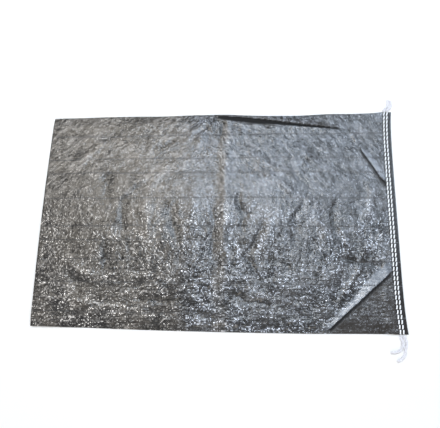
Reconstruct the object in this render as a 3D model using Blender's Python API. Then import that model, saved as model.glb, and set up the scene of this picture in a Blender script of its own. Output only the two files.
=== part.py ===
"""Laminated woven polypropylene sack, lying flat and empty on a level floor.

The sack is one seamless woven tube. Its mouth is open at -X. At +X the flattened
tube is turned under itself as a hem and sewn shut with two rows of thread, whose
loose ends hang out past both sides of the hem.

Metres, +Z up. The origin is on the floor under the middle of the sack.
+X runs along the length towards the sewn bottom, and +Y across the width.
"""
import math

import bmesh
import bpy
from mathutils import Vector

# Size of the empty sack
LENGTH = 0.7997           # mouth edge to bottom fold, along the middle
END_WIDTH = 0.495         # across the flat tube at the mouth and at the hem
BELLY = 0.0035            # how far each long side bows out at half length
HEM_FLARE = 0.0047        # how far the hem's corners stand past its middle
MOUTH_INSET = 0.0015      # how far the mouth's corners stand back
HEM_DEPTH = 0.028         # tube turned under at the sewn bottom

# Fabric, drawn a little thicker than the real 0.2 mm
WALL = 0.0003
LAYER_GAP = 0.00015       # air between two layers pressed together
TOUCH_GAP = 0.0003        # gap between pieces that touch

# Air left in the empty sack
PUFF = 0.014              # height of the top layer over the bottom one, mid-length
MOUTH_PUFF = 0.010        # the same at the mouth's edge
PUFF_POWER = 1.1          # how full the section is between the side creases
PUFF_END = 0.36           # the layers lie together from here to the hem
PUFF_FALL = 0.31          # the length over which the air runs out before that

# Thread of the bottom seam
THREAD_DIAMETER = 0.0012
ROW_SPACING = 0.0065      # between the two rows
OUTER_ROW_INSET = 0.0093  # from the bottom fold to the outer row
STITCHES = 50             # along each row
STITCH_RISE = 0.0003      # mid-stitch over the needle holes
STITCH_SLANT = 0.0004     # sideways lean of each stitch

# Loose chain of thread at the seam's ends
TAIL_DIAMETER = 0.004
TAIL_GAP = 0.0004         # from the seam's end to the loose chain

# Mesh fineness
TOP_CELLS = 28            # across the top layer
BOTTOM_CELLS = 8          # across the bottom layer
CREASE_CELLS = 3          # round each side crease
BODY_STATIONS = 34        # rings from the mouth to the hem
BEND_STATIONS = 4         # steps round the bottom fold
RAMP_LENGTH = 0.045       # the tube climbs onto the hem's underside over this

# Pleats in the top layer: ends (x, y), width across and height of the crest
PLEATS = (
    ((0.008, 0.240), (0.282, 0.212), 0.034, 0.0035),
    ((0.322, 0.165), (0.377, 0.079), 0.026, 0.0030),
    ((0.377, -0.122), (0.235, -0.243), 0.030, 0.0040),
)

STACK = 2 * WALL + LAYER_GAP
BEND_RADIUS = LAYER_GAP / 2
HEM_LIFT = THREAD_DIAMETER + TOUCH_GAP
BEND_HEIGHT = HEM_LIFT + STACK + BEND_RADIUS
HEM_TOP = BEND_HEIGHT + BEND_RADIUS + STACK
HALF_SPAN = (LENGTH + HEM_FLARE) / 2
CREASE_RADIUS = WALL + LAYER_GAP / 2


def smooth(t):
    """Smooth step from 0 to 1."""
    t = min(max(t, 0.0), 1.0)
    return t * t * (3 - 2 * t)


def half_width(x):
    """Half the sack's width at a place along its length."""
    return END_WIDTH / 2 + BELLY * math.sin(math.pi * (x + HALF_SPAN) / (2 * HALF_SPAN))


def mouth_edge(side):
    """X of the mouth's edge; side runs from -1 to 1 across the sack."""
    return -HALF_SPAN + MOUTH_INSET * side ** 4


def bottom_fold(side):
    """X of the outermost line of the bottom fold."""
    return -HALF_SPAN + LENGTH + HEM_FLARE * side ** 6


def puff(x, side):
    """Height of the air between the two layers."""
    air = PUFF * (1 - smooth((x - PUFF_END + PUFF_FALL) / PUFF_FALL))
    mouth = smooth((x + HALF_SPAN) / 0.15)
    air *= MOUTH_PUFF / PUFF + (1 - MOUTH_PUFF / PUFF) * mouth
    return air * max(1 - side * side, 0.0) ** PUFF_POWER


def pleat_height(x, y):
    """Height of the pleats over the top layer."""
    height = 0.0
    for start, end, width, crest in PLEATS:
        a, b = Vector(start), Vector(end)
        run = (b - a).length
        along = (Vector((x, y)) - a).dot((b - a) / run)
        across = ((b - a) / run).cross(Vector((x, y)) - a)
        taper = smooth(along / (0.2 * run)) * smooth((run - along) / (0.2 * run))
        height = max(height, crest * taper * smooth(1 - abs(across) / (width / 2)))
    return height


def ring(x, flat):
    """Closed loop of the tube's section as (y, height, normal y, normal height)."""
    half = half_width(x) - CREASE_RADIUS
    points = []
    for cell in range(TOP_CELLS + 1):
        side = 1 - 2 * cell / TOP_CELLS
        height = STACK - WALL / 2
        if not flat:
            height += puff(x, side) + pleat_height(x, side * half) * (1 - side ** 8)
        points.append((side * half, height, 0.0, 1.0))
    points += crease_points(-half, 90)
    for cell in range(BOTTOM_CELLS + 1):
        side = -1 + 2 * cell / BOTTOM_CELLS
        points.append((side * half, WALL / 2, 0.0, -1.0))
    points += crease_points(half, 270)
    return points


def crease_points(y, start_angle):
    """Round of a side crease between the two layers."""
    radius = (WALL + LAYER_GAP) / 2
    points = []
    for step in range(1, CREASE_CELLS + 1):
        angle = math.radians(start_angle + 180 * step / (CREASE_CELLS + 1))
        out, up = math.cos(angle), math.sin(angle)
        points.append((y + radius * out, STACK / 2 + radius * up, out, up))
    return points


def body_place(fraction, y, height):
    """Place of a point of the tube between the mouth and the bottom fold."""
    half = END_WIDTH / 2
    side = min(max(y / half, -1.0), 1.0)
    start = mouth_edge(side)
    end = bottom_fold(side) - BEND_RADIUS - STACK
    x = start + (end - start) * fraction
    climb = smooth((x - (bottom_fold(0) - HEM_DEPTH - 0.002 - RAMP_LENGTH)) / RAMP_LENGTH)
    return Vector((x, y, climb * (BEND_HEIGHT + BEND_RADIUS) + height))


def bend_place(angle, y, height):
    """Place of a point in the round of the bottom fold."""
    side = min(max(y / (END_WIDTH / 2), -1.0), 1.0)
    centre = bottom_fold(side) - BEND_RADIUS - STACK
    radius = BEND_RADIUS + height
    return Vector((centre + radius * math.cos(angle), y, BEND_HEIGHT + radius * math.sin(angle)))


def flap_place(depth, y, height):
    """Place of a point of the tube turned under as the hem."""
    side = min(max(y / (END_WIDTH / 2), -1.0), 1.0)
    return Vector((bottom_fold(side) - BEND_RADIUS - STACK - depth, y,
                   BEND_HEIGHT - BEND_RADIUS - height))


def sack_stations():
    """Section loops from the mouth, over the bottom fold, to the hem's cut end."""
    stations = []
    hem_start = 1 - (HEM_DEPTH + 0.002) / LENGTH
    for step in range(BODY_STATIONS + 1):
        fraction = hem_start * math.sin(0.5 * math.pi * step / BODY_STATIONS) ** 0.9
        x = -HALF_SPAN + LENGTH * fraction
        stations.append([(body_place, fraction, point) for point in ring(x, step == BODY_STATIONS)])
    flat_ring = ring(bottom_fold(0), True)
    for fraction in (1 - HEM_DEPTH / 2 / LENGTH, 1.0):
        stations.append([(body_place, fraction, point) for point in flat_ring])
    for step in range(1, BEND_STATIONS):
        angle = math.pi * (0.5 - step / BEND_STATIONS)
        stations.append([(bend_place, angle, point) for point in flat_ring])
    for depth in (0.0, HEM_DEPTH / 2, HEM_DEPTH):
        stations.append([(flap_place, depth, point) for point in flat_ring])
    return stations


def fabric_surface(mesh, stations, offset):
    """One face of the fabric, half a wall to one side of its middle."""
    rows = []
    for station in stations:
        row = []
        for place, where, (y, height, normal_y, normal_z) in station:
            row.append(mesh.verts.new(place(where, y + offset * normal_y, height + offset * normal_z)))
        rows.append(row)
    for near, far in zip(rows, rows[1:]):
        for k in range(len(near)):
            after = (k + 1) % len(near)
            mesh.faces.new((near[k], near[after], far[after], far[k]))
    return rows


def make_sack(material):
    """The woven tube with its open mouth and its hem."""
    mesh = bmesh.new()
    stations = sack_stations()
    outside = fabric_surface(mesh, stations, WALL / 2)
    inside = fabric_surface(mesh, stations, -WALL / 2)
    for end in (0, -1):
        for k in range(len(outside[end])):
            after = (k + 1) % len(outside[end])
            mesh.faces.new((outside[end][k], outside[end][after], inside[end][after], inside[end][k]))
    bmesh.ops.recalc_face_normals(mesh, faces=mesh.faces)
    data = bpy.data.meshes.new("sack")
    mesh.to_mesh(data)
    mesh.free()
    data.shade_smooth()
    data.set_sharp_from_angle(angle=math.radians(50))
    return add_object("sack", data, material)


def seam_loop(inset):
    """Path of one thread: stitches over the hem, then back along its underside."""
    radius = THREAD_DIAMETER / 2
    half = END_WIDTH / 2 + TOUCH_GAP
    top = HEM_TOP + TOUCH_GAP + radius
    turn = (top - radius) / 2
    points = []
    for step in range(2 * STITCHES + 1):
        side = -1 + step / STITCHES
        middle = step % 2
        x = bottom_fold(side) - inset + STITCH_SLANT * (middle - 0.5)
        points.append(Vector((x, side * half, top + STITCH_RISE * middle)))
    for end in (1, -1):
        x = bottom_fold(end) - inset
        for angle in (math.radians(a) for a in (60, 30, 0, -30, -60, -90)):
            up = turn * math.sin(angle * end)
            points.append(Vector((x, end * (half + turn * math.cos(angle)), radius + turn + up)))
        if end == 1:
            for step in range(1, 12):
                side = 1 - step / 6
                points.append(Vector((bottom_fold(side) - inset, side * half, radius)))
            points.append(Vector((bottom_fold(-1) - inset, -half, radius)))
    return points[:-1]


def smooth_route(points, spacing):
    """Points at an even spacing along a smooth curve through the route's own points."""
    route = [Vector(p) for p in points]
    ends = [2 * route[0] - route[1]] + route + [2 * route[-1] - route[-2]]
    fine = []
    for a, b, c, d in zip(ends, ends[1:], ends[2:], ends[3:]):
        for step in range(20):
            t = step / 20
            fine.append(0.5 * (2 * b + (c - a) * t + (2 * a - 5 * b + 4 * c - d) * t ** 2
                               + (3 * b - a - 3 * c + d) * t ** 3))
    fine.append(route[-1])
    travelled = [0.0]
    for a, b in zip(fine, fine[1:]):
        travelled.append(travelled[-1] + (b - a).length)
    count = max(2, round(travelled[-1] / spacing))
    result = []
    for step in range(count + 1):
        target = travelled[-1] * step / count
        k = max(i for i, reached in enumerate(travelled) if reached <= target + 1e-9)
        k = min(k, len(fine) - 2)
        share = (target - travelled[k]) / (travelled[k + 1] - travelled[k])
        result.append(fine[k].lerp(fine[k + 1], share))
    return result


def make_thread(name, points, diameter, cyclic, resolution, material):
    """Round thread along a path, closed on itself or with capped ends."""
    data = bpy.data.curves.new(name, "CURVE")
    data.dimensions = "3D"
    data.bevel_depth = diameter / 2
    data.bevel_resolution = resolution
    data.use_fill_caps = not cyclic
    spline = data.splines.new("POLY")
    spline.points.add(len(points) - 1)
    for slot, point in zip(spline.points, points):
        slot.co = (*point, 1.0)
    spline.use_cyclic_u = cyclic
    return add_object(name, data, material)


def tail_routes():
    """Plan route of each loose thread end, from the seam's end outwards."""
    half = END_WIDTH / 2 + TOUCH_GAP
    reach = half + (HEM_TOP + TOUCH_GAP) / 2 + THREAD_DIAMETER / 2 + TAIL_GAP
    outer = bottom_fold(1) - OUTER_ROW_INSET
    inner = outer - ROW_SPACING
    return {
        "tail_front_outer": ((outer, -reach), (outer, -reach - 0.003), (0.3955, -0.2575),
                             (0.3970, -0.2630), (0.3957, -0.2695), (0.3938, -0.2760),
                             (0.3932, -0.2825), (0.3915, -0.2885), (0.3870, -0.2940),
                             (0.3815, -0.2980), (0.3765, -0.3010)),
        "tail_front_inner": ((inner, -reach), (inner, -reach - 0.003), (0.3878, -0.2590),
                             (0.3889, -0.2650), (0.3885, -0.2715), (0.3852, -0.2775),
                             (0.3795, -0.2815), (0.3725, -0.2835), (0.3655, -0.2840)),
        "tail_back_inner": ((inner, reach), (inner, reach + 0.003), (0.3886, 0.2565),
                            (0.3922, 0.2600), (0.3952, 0.2645), (0.3968, 0.2700), (0.3963, 0.2780)),
        "tail_back_outer": ((outer, reach), (outer, reach + 0.002), (0.3960, 0.2550),
                            (0.3998, 0.2575), (0.4023, 0.2620), (0.4030, 0.2680), (0.4016, 0.2770)),
    }


def make_material(name, colour, roughness):
    """Plain plastic finish."""
    material = bpy.data.materials.new(name)
    material.use_nodes = True
    shader = material.node_tree.nodes["Principled BSDF"]
    shader.inputs["Base Color"].default_value = (*colour, 1.0)
    shader.inputs["Roughness"].default_value = roughness
    shader.inputs["Metallic"].default_value = 0.0
    material.diffuse_color = (*colour, 1.0)
    return material


def add_object(name, data, material):
    """Link a new object with its material."""
    data.materials.append(material)
    piece = bpy.data.objects.new(name, data)
    bpy.context.scene.collection.objects.link(piece)
    return piece


def build():
    """All pieces of the sack."""
    for piece in list(bpy.data.objects):
        bpy.data.objects.remove(piece, do_unlink=True)
    make_sack(make_material("laminated_fabric", (0.10, 0.10, 0.105), 0.35))
    for name, inset in (("stitch_row_outer", OUTER_ROW_INSET),
                        ("stitch_row_inner", OUTER_ROW_INSET + ROW_SPACING)):
        thread = make_material(name, (0.85, 0.86, 0.88), 0.6)
        make_thread(name, seam_loop(inset), THREAD_DIAMETER, True, 1, thread)
    for name, plan in tail_routes().items():
        route = [(x, y, TAIL_DIAMETER / 2) for x, y in plan]
        points = smooth_route(route, 2 * TAIL_DIAMETER)
        chain = make_material(name, (0.80, 0.81, 0.86), 0.7)
        make_thread(name, points, TAIL_DIAMETER, False, 2, chain)


build()
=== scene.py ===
"""Looks of an empty laminated woven polypropylene sack lying flat on a pale floor.

The frame holds the sack's solid, its two seam threads and their loose ends. This
script puts a creased fabric tube, sewn stitches and chains of thread in their
place. Metres, +Z up, +X towards the sewn bottom, mouth at -X.
"""
import math

import bmesh
import bpy
import numpy as np
from mathutils import Matrix, Vector


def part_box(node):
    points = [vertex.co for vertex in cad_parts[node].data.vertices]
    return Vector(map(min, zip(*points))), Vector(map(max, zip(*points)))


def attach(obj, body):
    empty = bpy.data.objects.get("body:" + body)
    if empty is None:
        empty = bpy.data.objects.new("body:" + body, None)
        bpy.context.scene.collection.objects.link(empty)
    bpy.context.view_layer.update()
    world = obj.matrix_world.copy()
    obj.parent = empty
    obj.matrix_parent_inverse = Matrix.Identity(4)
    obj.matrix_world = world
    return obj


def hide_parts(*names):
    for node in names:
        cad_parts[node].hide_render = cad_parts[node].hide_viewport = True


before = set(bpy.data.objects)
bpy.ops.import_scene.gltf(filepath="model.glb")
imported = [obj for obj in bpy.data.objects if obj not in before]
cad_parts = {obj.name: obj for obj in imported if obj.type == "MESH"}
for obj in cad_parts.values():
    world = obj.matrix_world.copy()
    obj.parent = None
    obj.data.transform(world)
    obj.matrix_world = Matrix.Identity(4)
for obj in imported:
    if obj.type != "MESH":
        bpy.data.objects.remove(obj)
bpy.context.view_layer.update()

# Sack, from the frame
SACK_LOW, SACK_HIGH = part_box("sack")
MOUTH_X = SACK_LOW[0]
FLARE = 0.0047                        # how far the hem's corners stand past its middle
FOLD_X = SACK_HIGH[0] - FLARE         # middle of the bottom fold
END_HALF_WIDTH = 0.2475
MOUTH_INSET = 0.0015
HEM_DEPTH = 0.028

# Fabric
WALL = 0.00025
LAYER_GAP = 0.0001
STACK = 2 * WALL + LAYER_GAP          # two layers pressed together
TAPE = 0.00245                        # width of one woven tape

# Seam
THREAD = 0.0012                       # thickness of the sewing thread
OUTER_ROW_INSET = 0.0093
ROW_SPACING = 0.0065
STITCHES = 50
HEM_LIFT = THREAD * 0.9               # the hem lies on its underside threads
BEND_RADIUS = 0.0001
HEM_SLOPE = 0.045                     # the hem's top falls this much towards its fold
BEND_Z = HEM_LIFT + STACK + BEND_RADIUS
HEM_TOP = BEND_Z + BEND_RADIUS + STACK

# Loose chain of thread at the seam's ends
TAIL_DIAMETER = 0.004

# Mesh fineness
BODY_STEP = 0.0029                    # between rings over most of the length
HEM_END_STEP = 0.0020                 # between rings near the hem
HEM_END_X = 0.20                      # from here on the finer step is used
TOP_CELLS = 204                       # across the top layer
CROWDING = 0.42                       # how far these crowd towards the two sides
COARSE = 4                            # fine cells for each coarse one
BOTTOM_CELLS = TOP_CELLS // COARSE

# Plan of the two long sides, from the mouth to the fold: (x, y)
FAR_SIDE = ((-0.402, 0.2470), (-0.304, 0.2490), (-0.244, 0.2502), (-0.125, 0.2486),
            (-0.038, 0.2508), (0.020, 0.2502), (0.105, 0.2452), (0.190, 0.2438),
            (0.273, 0.2468), (0.300, 0.2450), (0.355, 0.2462), (0.402, 0.2474))
NEAR_SIDE = ((-0.402, -0.2465), (-0.228, -0.2487), (-0.122, -0.2503), (0.033, -0.2508),
             (0.183, -0.2503), (0.305, -0.2482), (0.377, -0.2470), (0.402, -0.2474))


def smooth(t):
    """Smooth step from 0 to 1."""
    t = np.clip(t, 0.0, 1.0)
    return t * t * (3 - 2 * t)


def lattice_turns(ix, iy, seed):
    """Direction of the noise slope at whole-number places, in radians."""
    mask = 0xFFFFFFFF
    h = (ix.astype(np.int64) * 374761393 + iy.astype(np.int64) * 668265263 + seed * 362437) & mask
    h = ((h ^ (h >> 13)) * 1274126177) & mask
    h = h ^ (h >> 16)
    return h / mask * 2 * math.pi


def noise(x, y, seed):
    """Smooth noise of about -1 to 1, with one swell per unit."""
    cell_x, cell_y = np.floor(x), np.floor(y)
    in_x, in_y = x - cell_x, y - cell_y
    ease_x = in_x ** 3 * (in_x * (6 * in_x - 15) + 10)
    ease_y = in_y ** 3 * (in_y * (6 * in_y - 15) + 10)
    total = 0.0
    for step_x in (0, 1):
        for step_y in (0, 1):
            turn = lattice_turns(cell_x + step_x, cell_y + step_y, seed)
            slope = np.cos(turn) * (in_x - step_x) + np.sin(turn) * (in_y - step_y)
            share = (ease_x if step_x else 1 - ease_x) * (ease_y if step_y else 1 - ease_y)
            total = total + slope * share
    return 1.5 * total


def stretched_noise(x, y, angle, along, across, seed):
    """Noise whose swells run at an angle, with a length and a width."""
    turn = math.radians(angle)
    s = x * math.cos(turn) + y * math.sin(turn)
    t = -x * math.sin(turn) + y * math.cos(turn)
    return noise(s / along, t / across, seed)


def ridged(n):
    """Turns noise into sharp crests on rounded hollows, with a mean of about 0."""
    return 0.55 - 1.6 * np.abs(n)


def near(x, y, centre, reach):
    """Weight of 1 at a centre, falling off over a reach in x and y."""
    return np.exp(-((x - centre[0]) / reach[0]) ** 2 - ((y - centre[1]) / reach[1]) ** 2)


def mouth_edge(side):
    """X of the mouth's edge; side runs from -1 to 1 across the sack."""
    return MOUTH_X + MOUTH_INSET * side ** 4


def bottom_fold(side):
    """X of the bottom fold's outermost line."""
    return FOLD_X + FLARE * np.abs(side) ** 6


def side_line(x, points):
    """Y of a long side at x, with its corners eased."""
    xs, ys = zip(*points)
    total = 0.0
    for shift in (-0.018, -0.009, 0.0, 0.009, 0.018):
        total = total + np.interp(x + shift, xs, ys)
    return total / 5


# Folds of the top layer, as they run in the photo: a line, its width and its height.
# A negative height is a hollow.
SOFT_FOLDS = (
    (((-0.329, -0.113), (-0.317, -0.141), (-0.285, -0.154)), 0.012, -0.0030),
    (((-0.386, -0.169), (-0.354, -0.196), (-0.315, -0.187), (-0.280, -0.200),
      (-0.229, -0.210), (-0.162, -0.211)), 0.010, 0.0022),
    (((-0.346, -0.068), (-0.333, -0.102), (-0.301, -0.128), (-0.252, -0.136)), 0.013, 0.0026),
    (((-0.191, -0.123), (-0.129, -0.125)), 0.006, -0.0018),
    (((-0.181, -0.183), (-0.125, -0.190), (-0.076, -0.181)), 0.006, -0.0022),
    (((-0.246, -0.056), (-0.238, -0.134)), 0.008, -0.0024),
    (((-0.247, 0.111), (-0.252, 0.068), (-0.240, 0.032)), 0.010, -0.0014),
    (((-0.208, 0.038), (-0.214, -0.004), (-0.204, -0.056)), 0.010, -0.0022),
    (((-0.150, 0.060), (-0.156, 0.000), (-0.146, -0.080)), 0.016, 0.0018),
    (((-0.092, 0.031), (-0.098, -0.015), (-0.090, -0.066)), 0.009, -0.0022),
    (((-0.046, 0.090), (-0.050, 0.000), (-0.045, -0.110)), 0.015, 0.0016),
    (((-0.005, 0.049), (-0.002, -0.015), (-0.004, -0.066), (0.006, -0.115)), 0.006, -0.0026),
    (((0.022, 0.205), (0.024, 0.084), (0.022, -0.043), (0.026, -0.153)), 0.013, 0.0034),
    (((0.050, 0.066), (0.053, 0.028), (0.069, 0.002), (0.061, -0.022), (0.037, -0.032)), 0.007, -0.0028),
    (((0.107, -0.004), (0.098, -0.043), (0.074, -0.088), (0.095, -0.141)), 0.008, -0.0028),
    (((0.132, 0.010), (0.118, -0.050), (0.108, -0.110)), 0.013, 0.0022),
    (((0.224, 0.002), (0.239, -0.032), (0.248, -0.070)), 0.008, 0.0022),
    (((0.200, 0.036), (0.177, -0.009), (0.179, -0.065)), 0.010, -0.0020),
    (((0.274, 0.048), (0.262, 0.008), (0.263, -0.032)), 0.009, -0.0022),
    (((0.344, 0.082), (0.343, 0.024), (0.335, -0.020)), 0.011, 0.0026),
    (((0.276, -0.026), (0.292, -0.078)), 0.006, 0.0018),
    (((0.255, -0.081), (0.286, -0.097), (0.378, -0.112)), 0.005, -0.0022),
    (((-0.341, 0.176), (-0.305, 0.188), (-0.262, 0.181)), 0.009, 0.0018),
    (((-0.348, 0.118), (-0.313, 0.140), (-0.280, 0.175)), 0.009, 0.0018),
    (((-0.334, 0.041), (-0.300, 0.065), (-0.255, 0.099)), 0.010, 0.0018),
    (((-0.329, 0.059), (-0.260, 0.087), (-0.197, 0.129)), 0.011, -0.0018),
    (((-0.163, 0.056), (-0.135, 0.092), (-0.101, 0.116)), 0.010, 0.0015),
    (((-0.243, 0.032), (-0.199, 0.068), (-0.142, 0.104)), 0.010, 0.0016),
    (((0.001, 0.234), (-0.028, 0.202), (-0.045, 0.171)), 0.008, 0.0026),
    (((0.013, 0.232), (0.014, 0.192)), 0.006, -0.0024),
    (((-0.005, 0.238), (-0.040, 0.222), (-0.069, 0.190)), 0.008, 0.0024),
    (((0.066, 0.163), (0.112, 0.126), (0.179, 0.089)), 0.008, 0.0018),
    (((0.078, 0.132), (0.135, 0.083), (0.206, 0.036)), 0.009, 0.0018),
    (((0.187, 0.180), (0.209, 0.143), (0.241, 0.106)), 0.010, 0.0016),
    (((0.169, 0.119), (0.207, 0.065)), 0.008, -0.0016),
    (((-0.058, -0.228), (0.006, -0.232), (0.080, -0.236)), 0.008, 0.0018),
    (((0.026, -0.169), (0.079, -0.189), (0.137, -0.193)), 0.008, -0.0022),
    (((-0.061, -0.165), (-0.027, -0.196), (0.027, -0.221)), 0.009, 0.0020),
    (((0.325, -0.102), (0.297, -0.135), (0.262, -0.190)), 0.006, 0.0026),
    (((0.306, 0.200), (0.314, 0.186), (0.328, 0.170)), 0.005, 0.0022),
    (((0.042, 0.232), (0.101, 0.222), (0.170, 0.215)), 0.003, -0.0013),
)

# Pleats where the top layer folds over itself: the line's start and end, with the open
# side on its left, half the fabric taken in, the overlap's push, the rise of the even
# slope behind the lip, its lift, and that slope's width at distances from the start.
PLEATS = (
    ((0.3843, 0.0662), (0.3265, 0.1655), 0.010, 0.0075, -0.035, 0.0022,
     ((0.0, 0.0100), (0.050, 0.0135), (0.080, 0.0115), (0.112, 0.0040))),
    ((0.3825, -0.1109), (0.2275, -0.2501), 0.012, 0.0090, 0.17, 0.0005,
     ((0.0, 0.0210), (0.070, 0.0200), (0.105, 0.0130), (0.150, 0.0110), (0.200, 0.0090))),
)
CORNER_EDGE = ((0.2356, -0.2479), (0.2903, -0.2007), (0.3310, -0.1613), (0.3800, -0.1180))

# Deep tuck along the far side: x and y of its middle, and half its width
FAR_TUCK = ((0.002, 0.2440, 0.0020), (0.009, 0.2425, 0.0040), (0.054, 0.2365, 0.0054),
            (0.096, 0.2313, 0.0056), (0.136, 0.2267, 0.0044), (0.194, 0.2190, 0.0026),
            (0.284, 0.2090, 0.0008))
SECOND_TUCK = ((0.028, 0.2306), (0.066, 0.2259), (0.106, 0.2226), (0.164, 0.2144))


def far_tuck(x, y):
    """How far inside the deep tuck a point is, its distance past the middle, and half the width."""
    xs, ys, halves = zip(*FAR_TUCK)
    middle = np.interp(x, xs, ys)
    half = np.interp(x, xs, halves, left=0.0, right=0.0)
    off = y - middle
    return smooth((half - np.abs(off)) / 0.0014 + 0.5) * smooth(half / 0.0012), off, half


def fold_height(x, y, line, width):
    """Rounded ridge of height 1 along a line of points, fading at its ends."""
    points = [np.array(p) for p in line]
    lengths = [np.linalg.norm(b - a) for a, b in zip(points, points[1:])]
    total = sum(lengths)
    best = np.full(x.shape, 1e9)
    where = np.zeros(x.shape)
    start = 0.0
    for a, b, length in zip(points, points[1:], lengths):
        along = ((x - a[0]) * (b[0] - a[0]) + (y - a[1]) * (b[1] - a[1])) / length
        inside = np.clip(along, 0, length)
        spot_x = a[0] + (b[0] - a[0]) * inside / length
        spot_y = a[1] + (b[1] - a[1]) * inside / length
        distance = np.hypot(x - spot_x, y - spot_y)
        closer = distance < best
        best = np.where(closer, distance, best)
        where = np.where(closer, start + inside, where)
        start += length
    fade = smooth(where / (0.3 * total)) * smooth((total - where) / (0.3 * total))
    return np.exp(-(best / width) ** 2) * (0.25 + 0.75 * fade)


def soft_folds(x, y):
    """Height of all the folds seen in the photo, bent a little so that none is straight."""
    bent_x = x + 0.006 * noise(x / 0.035, y / 0.035, 51)
    bent_y = y + 0.006 * noise(x / 0.035, y / 0.035, 52)
    height = np.zeros(x.shape)
    for line, width, crest in SOFT_FOLDS:
        height += crest * fold_height(bent_x, bent_y, line, width)
    return height


def short_creases(x, y, count, seed):
    """Many short straight creases, as in film that was once crumpled."""
    dice = np.random.default_rng(seed)
    height = np.zeros(x.shape)
    for _ in range(count):
        cx, cy = dice.uniform(MOUTH_X, FOLD_X), dice.uniform(-0.245, 0.245)
        turn = crease_angle(cx, cy) + dice.normal(0.0, 0.5)
        half_length = dice.uniform(0.006, 0.024)
        crest = dice.uniform(0.25, 1.0) * dice.choice((-1, 1)) * 0.00085 * crease_strength(cx, cy)
        width = dice.uniform(0.0028, 0.0060)
        reach = half_length + 3 * width
        rows = np.where(np.abs(x[:, 0] - cx) < reach + 0.004)[0]
        cols = np.where(np.abs(y[0] - cy) < reach + 0.004)[0]
        if not len(rows) or not len(cols):
            continue
        window = np.ix_(rows, cols)
        dx, dy = x[window] - cx, y[window] - cy
        along = dx * math.cos(turn) + dy * math.sin(turn)
        across = -dx * math.sin(turn) + dy * math.cos(turn)
        crease = np.exp(-np.sqrt(across ** 2 + 0.0012 ** 2) / width)
        height[window] += crest * crease * np.exp(-(along / half_length) ** 2)
    return height


def crease_angle(x, y):
    """Usual direction of small creases at a place, in radians."""
    if x < -0.08 and y > 0.03:
        return math.radians(35)
    if y < -0.13 and x < 0.2:
        return math.radians(0)
    if x > 0.05 and y > 0.06:
        return math.radians(-60)
    return math.radians(82)


def crease_strength(x, y):
    """How crumpled the film is at a place."""
    lively = 1.0 * math.exp(-((x - 0.13) / 0.17) ** 2 - ((y + 0.10) / 0.10) ** 2)
    return 0.65 + lively


def crumple(x, y):
    """Finer wrinkles of the film, in the directions they take in the photo."""
    warp_x = x + 0.010 * noise(x / 0.06, y / 0.06, 3) + 0.003 * noise(x / 0.017, y / 0.017, 5)
    warp_y = y + 0.010 * noise(x / 0.06, y / 0.06, 4) + 0.003 * noise(x / 0.017, y / 0.017, 6)
    upper_left = smooth((0.02 - x) / 0.12) * smooth((y + 0.01) / 0.08)
    upper_right = smooth((x + 0.02) / 0.10) * smooth((y - 0.02) / 0.08)
    lower = smooth((-0.10 - y) / 0.07)
    middle = np.clip(1 - upper_left - upper_right - lower, 0, 1)
    regions = ((upper_left, 33, 11), (upper_right, -58, 21), (middle, 84, 31), (lower, 2, 41))
    height = np.zeros(x.shape)
    for weight, angle, seed in regions:
        broad = ridged(stretched_noise(warp_x, warp_y, angle, 0.075, 0.032, seed))
        fine = ridged(stretched_noise(warp_x, warp_y, angle, 0.034, 0.0145, seed + 1))
        ripple = stretched_noise(warp_x, warp_y, angle, 0.022, 0.0075, seed + 2)
        height += weight * (0.0009 * broad + 0.00052 * fine + 0.00022 * ripple)
    ripples = stretched_noise(warp_x, warp_y, 3, 0.026, 0.0062, 61)
    height += 0.00022 * ripples * smooth((-0.06 - y) / 0.10)
    dents = ridged(noise(warp_x / 0.012, warp_y / 0.012, 71))
    lively = 0.35 + near(x, y, (0.13, -0.12), (0.20, 0.10)) + 0.5 * near(x, y, (0.0, 0.2), (0.07, 0.05))
    height += 0.00038 * dents * lively
    return height


def hem_pucker(x, y):
    """Small waves that the stitches draw into the hem."""
    pitch = 2 * END_HALF_WIDTH / STITCHES
    wave = 0.5 - 0.5 * np.cos(2 * math.pi * (y / pitch + 0.5))
    rows = 0.0
    for inset in (OUTER_ROW_INSET, OUTER_ROW_INSET + ROW_SPACING):
        rows = rows + np.exp(-((x - (bottom_fold(y / END_HALF_WIDTH) - inset)) / 0.0022) ** 2)
    return -0.00014 * rows * (1 - 0.5 * wave)


def floor_lift(x, y):
    """How far both layers together rise off the floor."""
    edge = smooth((np.abs(y) - 0.19) / 0.06)
    swell = 0.5 + 0.5 * noise(x / 0.085, y / 0.3, 81)
    corner = near(x, y, (-0.40, -0.24), (0.07, 0.05)) * 0.0035
    corner += near(x, y, (-0.40, 0.24), (0.05, 0.05)) * 0.0022
    return 0.0016 * edge * swell + corner


def air_gap(x, side):
    """Height of the air between the layers."""
    length = smooth((x - MOUTH_X) / 0.12)
    hem = 1 - smooth((x - 0.10) / 0.26)
    crown = np.maximum(1 - side * side, 0.0) ** 0.85
    return (0.008 + 0.004 * length) * (0.16 + 0.84 * hem) * crown * smooth((0.372 - x) / 0.03)


def tube_stations():
    """Share of the length at each ring, from the mouth to the bottom fold."""
    xs = [MOUTH_X]
    while xs[-1] < FOLD_X:
        xs.append(xs[-1] + (BODY_STEP if xs[-1] < HEM_END_X else HEM_END_STEP))
    xs = np.array(xs)
    return (xs - MOUTH_X) / (xs[-1] - MOUTH_X)


def plan_place(shares, sides):
    """Plan of the flat layer at a share of the length and a side."""
    side = np.broadcast_to(sides[None, :], (len(shares), len(sides)))
    start = mouth_edge(side)
    end = bottom_fold(side) - BEND_RADIUS - STACK
    x = start + (end - start) * shares[:, None]
    far, close = side_line(x, FAR_SIDE), side_line(x, NEAR_SIDE)
    y = close + (far - close) * (1 + side) / 2
    return x, y, side


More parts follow.
